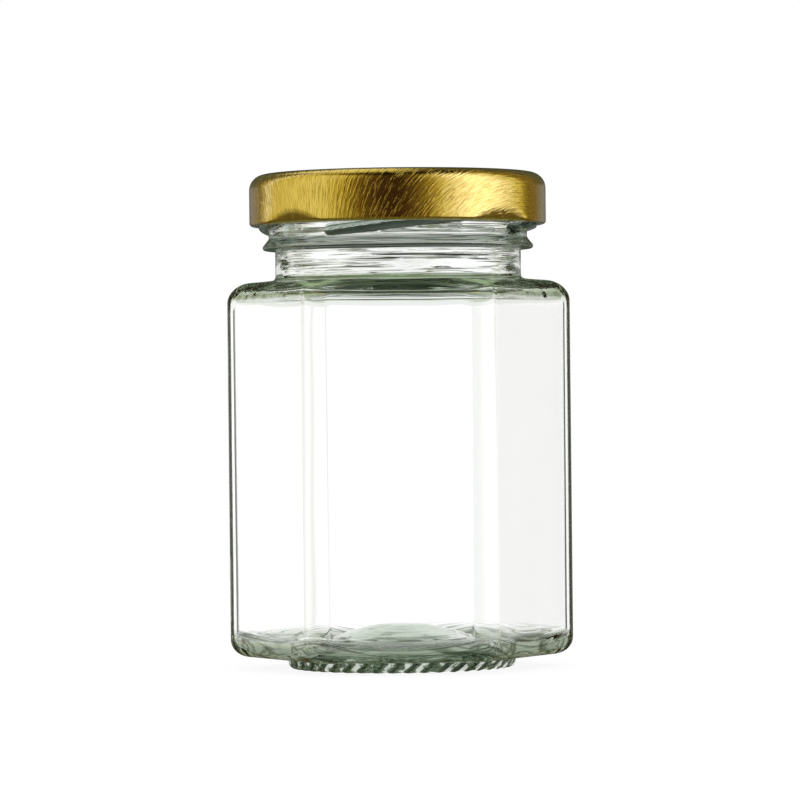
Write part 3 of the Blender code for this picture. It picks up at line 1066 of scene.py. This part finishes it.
def line_light(tree, x, y, z):
    """1 where the line light is: overhead, from left of the camera to the middle."""
    sideways = tree.step(x, *LINE_LEFT) * (1 - tree.step(x, *LINE_RIGHT))
    backwards = tree.step(y, *LINE_NEAR) * (1 - tree.step(y, *LINE_FAR))
    return tree.step(z, *LINE_HEIGHT) * sideways * backwards


def mirrored_light(tree, x, y, z, azimuth, elevation):
    """What the outsides of the lid and the jar mirror: soft boxes left and right, a line light above."""
    boxes = around(tree, azimuth, MIRRORED_LEVELS) * 2.0 * (1 - tree.step(elevation, *BOX_TOP))
    line = line_light(tree, x, y, z)
    level = boxes + line * LINE_LIGHT_LEVEL
    tint = tree.add("ShaderNodeValToRGB", {"stops": WARM_STOPS}, {"Fac": level * 0.5})
    warm = tree.scaled(tint, level)
    side = azimuth.maths("ABSOLUTE", azimuth)
    behind = tree.mix(tree.step(elevation, *BEHIND_RISE), BEHIND_LOW, BEHIND_HIGH)
    warm = tree.mix(tree.step(side, *BEHIND_SIDE) * (1 - line), warm, behind)
    warm = tree.mix(tree.step(side, *RIGHT_BEHIND_SIDE) * (1 - line), warm, RIGHT_BEHIND)
    under = tree.mix(tree.step(-elevation, *UNDER_TURNS), UNDER_FAR, UNDER_NEAR)
    return tree.mix(tree.step(-elevation, *UNDER_BEGINS), warm, under)


def light_through_glass(tree, azimuth, elevation):
    """What shows through the glass: a white sheet and dark gaps level with it, pale and dim bands below."""
    level = around(tree, azimuth, THROUGH_LEVELS) * 2.0
    sides = tree.scaled((1.0, 1.0, 1.0), level)
    stops = [((degrees + 90) / 180, (*colour, 1.0)) for degrees, colour in UNDER_STOPS]
    share = (elevation + 90.0) * (1 / 180)
    bands = tree.add("ShaderNodeValToRGB", {"stops": stops}, {"Fac": share})
    steep = elevation.maths("ABSOLUTE", elevation - LEVEL_MIDDLE)
    return tree.mix(tree.step(steep, *STEEP), sides, bands)


def floor():
    """A wide pale disc, which only the camera and soft light see."""
    shape = bmesh.new()
    bmesh.ops.create_circle(shape, cap_ends=True, segments=FLOOR_DISC_STEPS, radius=FLOOR_DISC)
    made = mesh_object("studio_floor", shape, studio_floor())
    made.visible_glossy = False
    made.visible_transmission = False
    return made


def camera():
    """Level with the middle of the jar and square to its front side, with the picture's slight tilt."""
    lens = bpy.data.cameras.new("view")
    lens.sensor_width = SENSOR
    lens.lens = FOCAL_PIXELS / PICTURE * SENSOR
    lens.clip_start = 0.01
    made = bpy.data.objects.new("view", lens)
    made.location = (0, -CAMERA_DISTANCE * MM, EYE_HEIGHT * MM)
    turns = (90 + CAMERA_PITCH, CAMERA_ROLL, CAMERA_TURN)
    made.rotation_euler = [math.radians(turn) for turn in turns]
    bpy.context.scene.collection.objects.link(made)
    bpy.context.scene.camera = made


def render_settings():
    """Plain tones, and enough bounces for light to find its way out of the glass."""
    scene = bpy.context.scene
    scene.view_settings.view_transform = "Standard"
    scene.cycles.max_bounces = 32
    scene.cycles.transmission_bounces = 32
    scene.cycles.glossy_bounces = 16
    scene.cycles.transparent_max_bounces = 16
    scene.cycles.use_denoising = True


def main():
    """Makes both pieces and the studio round them."""
    glass = mesh_object(
        "clear_jar",
        glass_skin(outside_sections() + finish_sections() + inside_sections()),
        jar_glass(),
    )
    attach(glass, "root")
    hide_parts("glass_jar")

    lid = mesh_object("brushed_lid", lid_shape(), brushed_gold(), LID_SMOOTH_ANGLE, lid_lining())
    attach(lid, "root")
    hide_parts("twist_lid")

    floor()
    studio_world()
    camera()
    render_settings()


main()
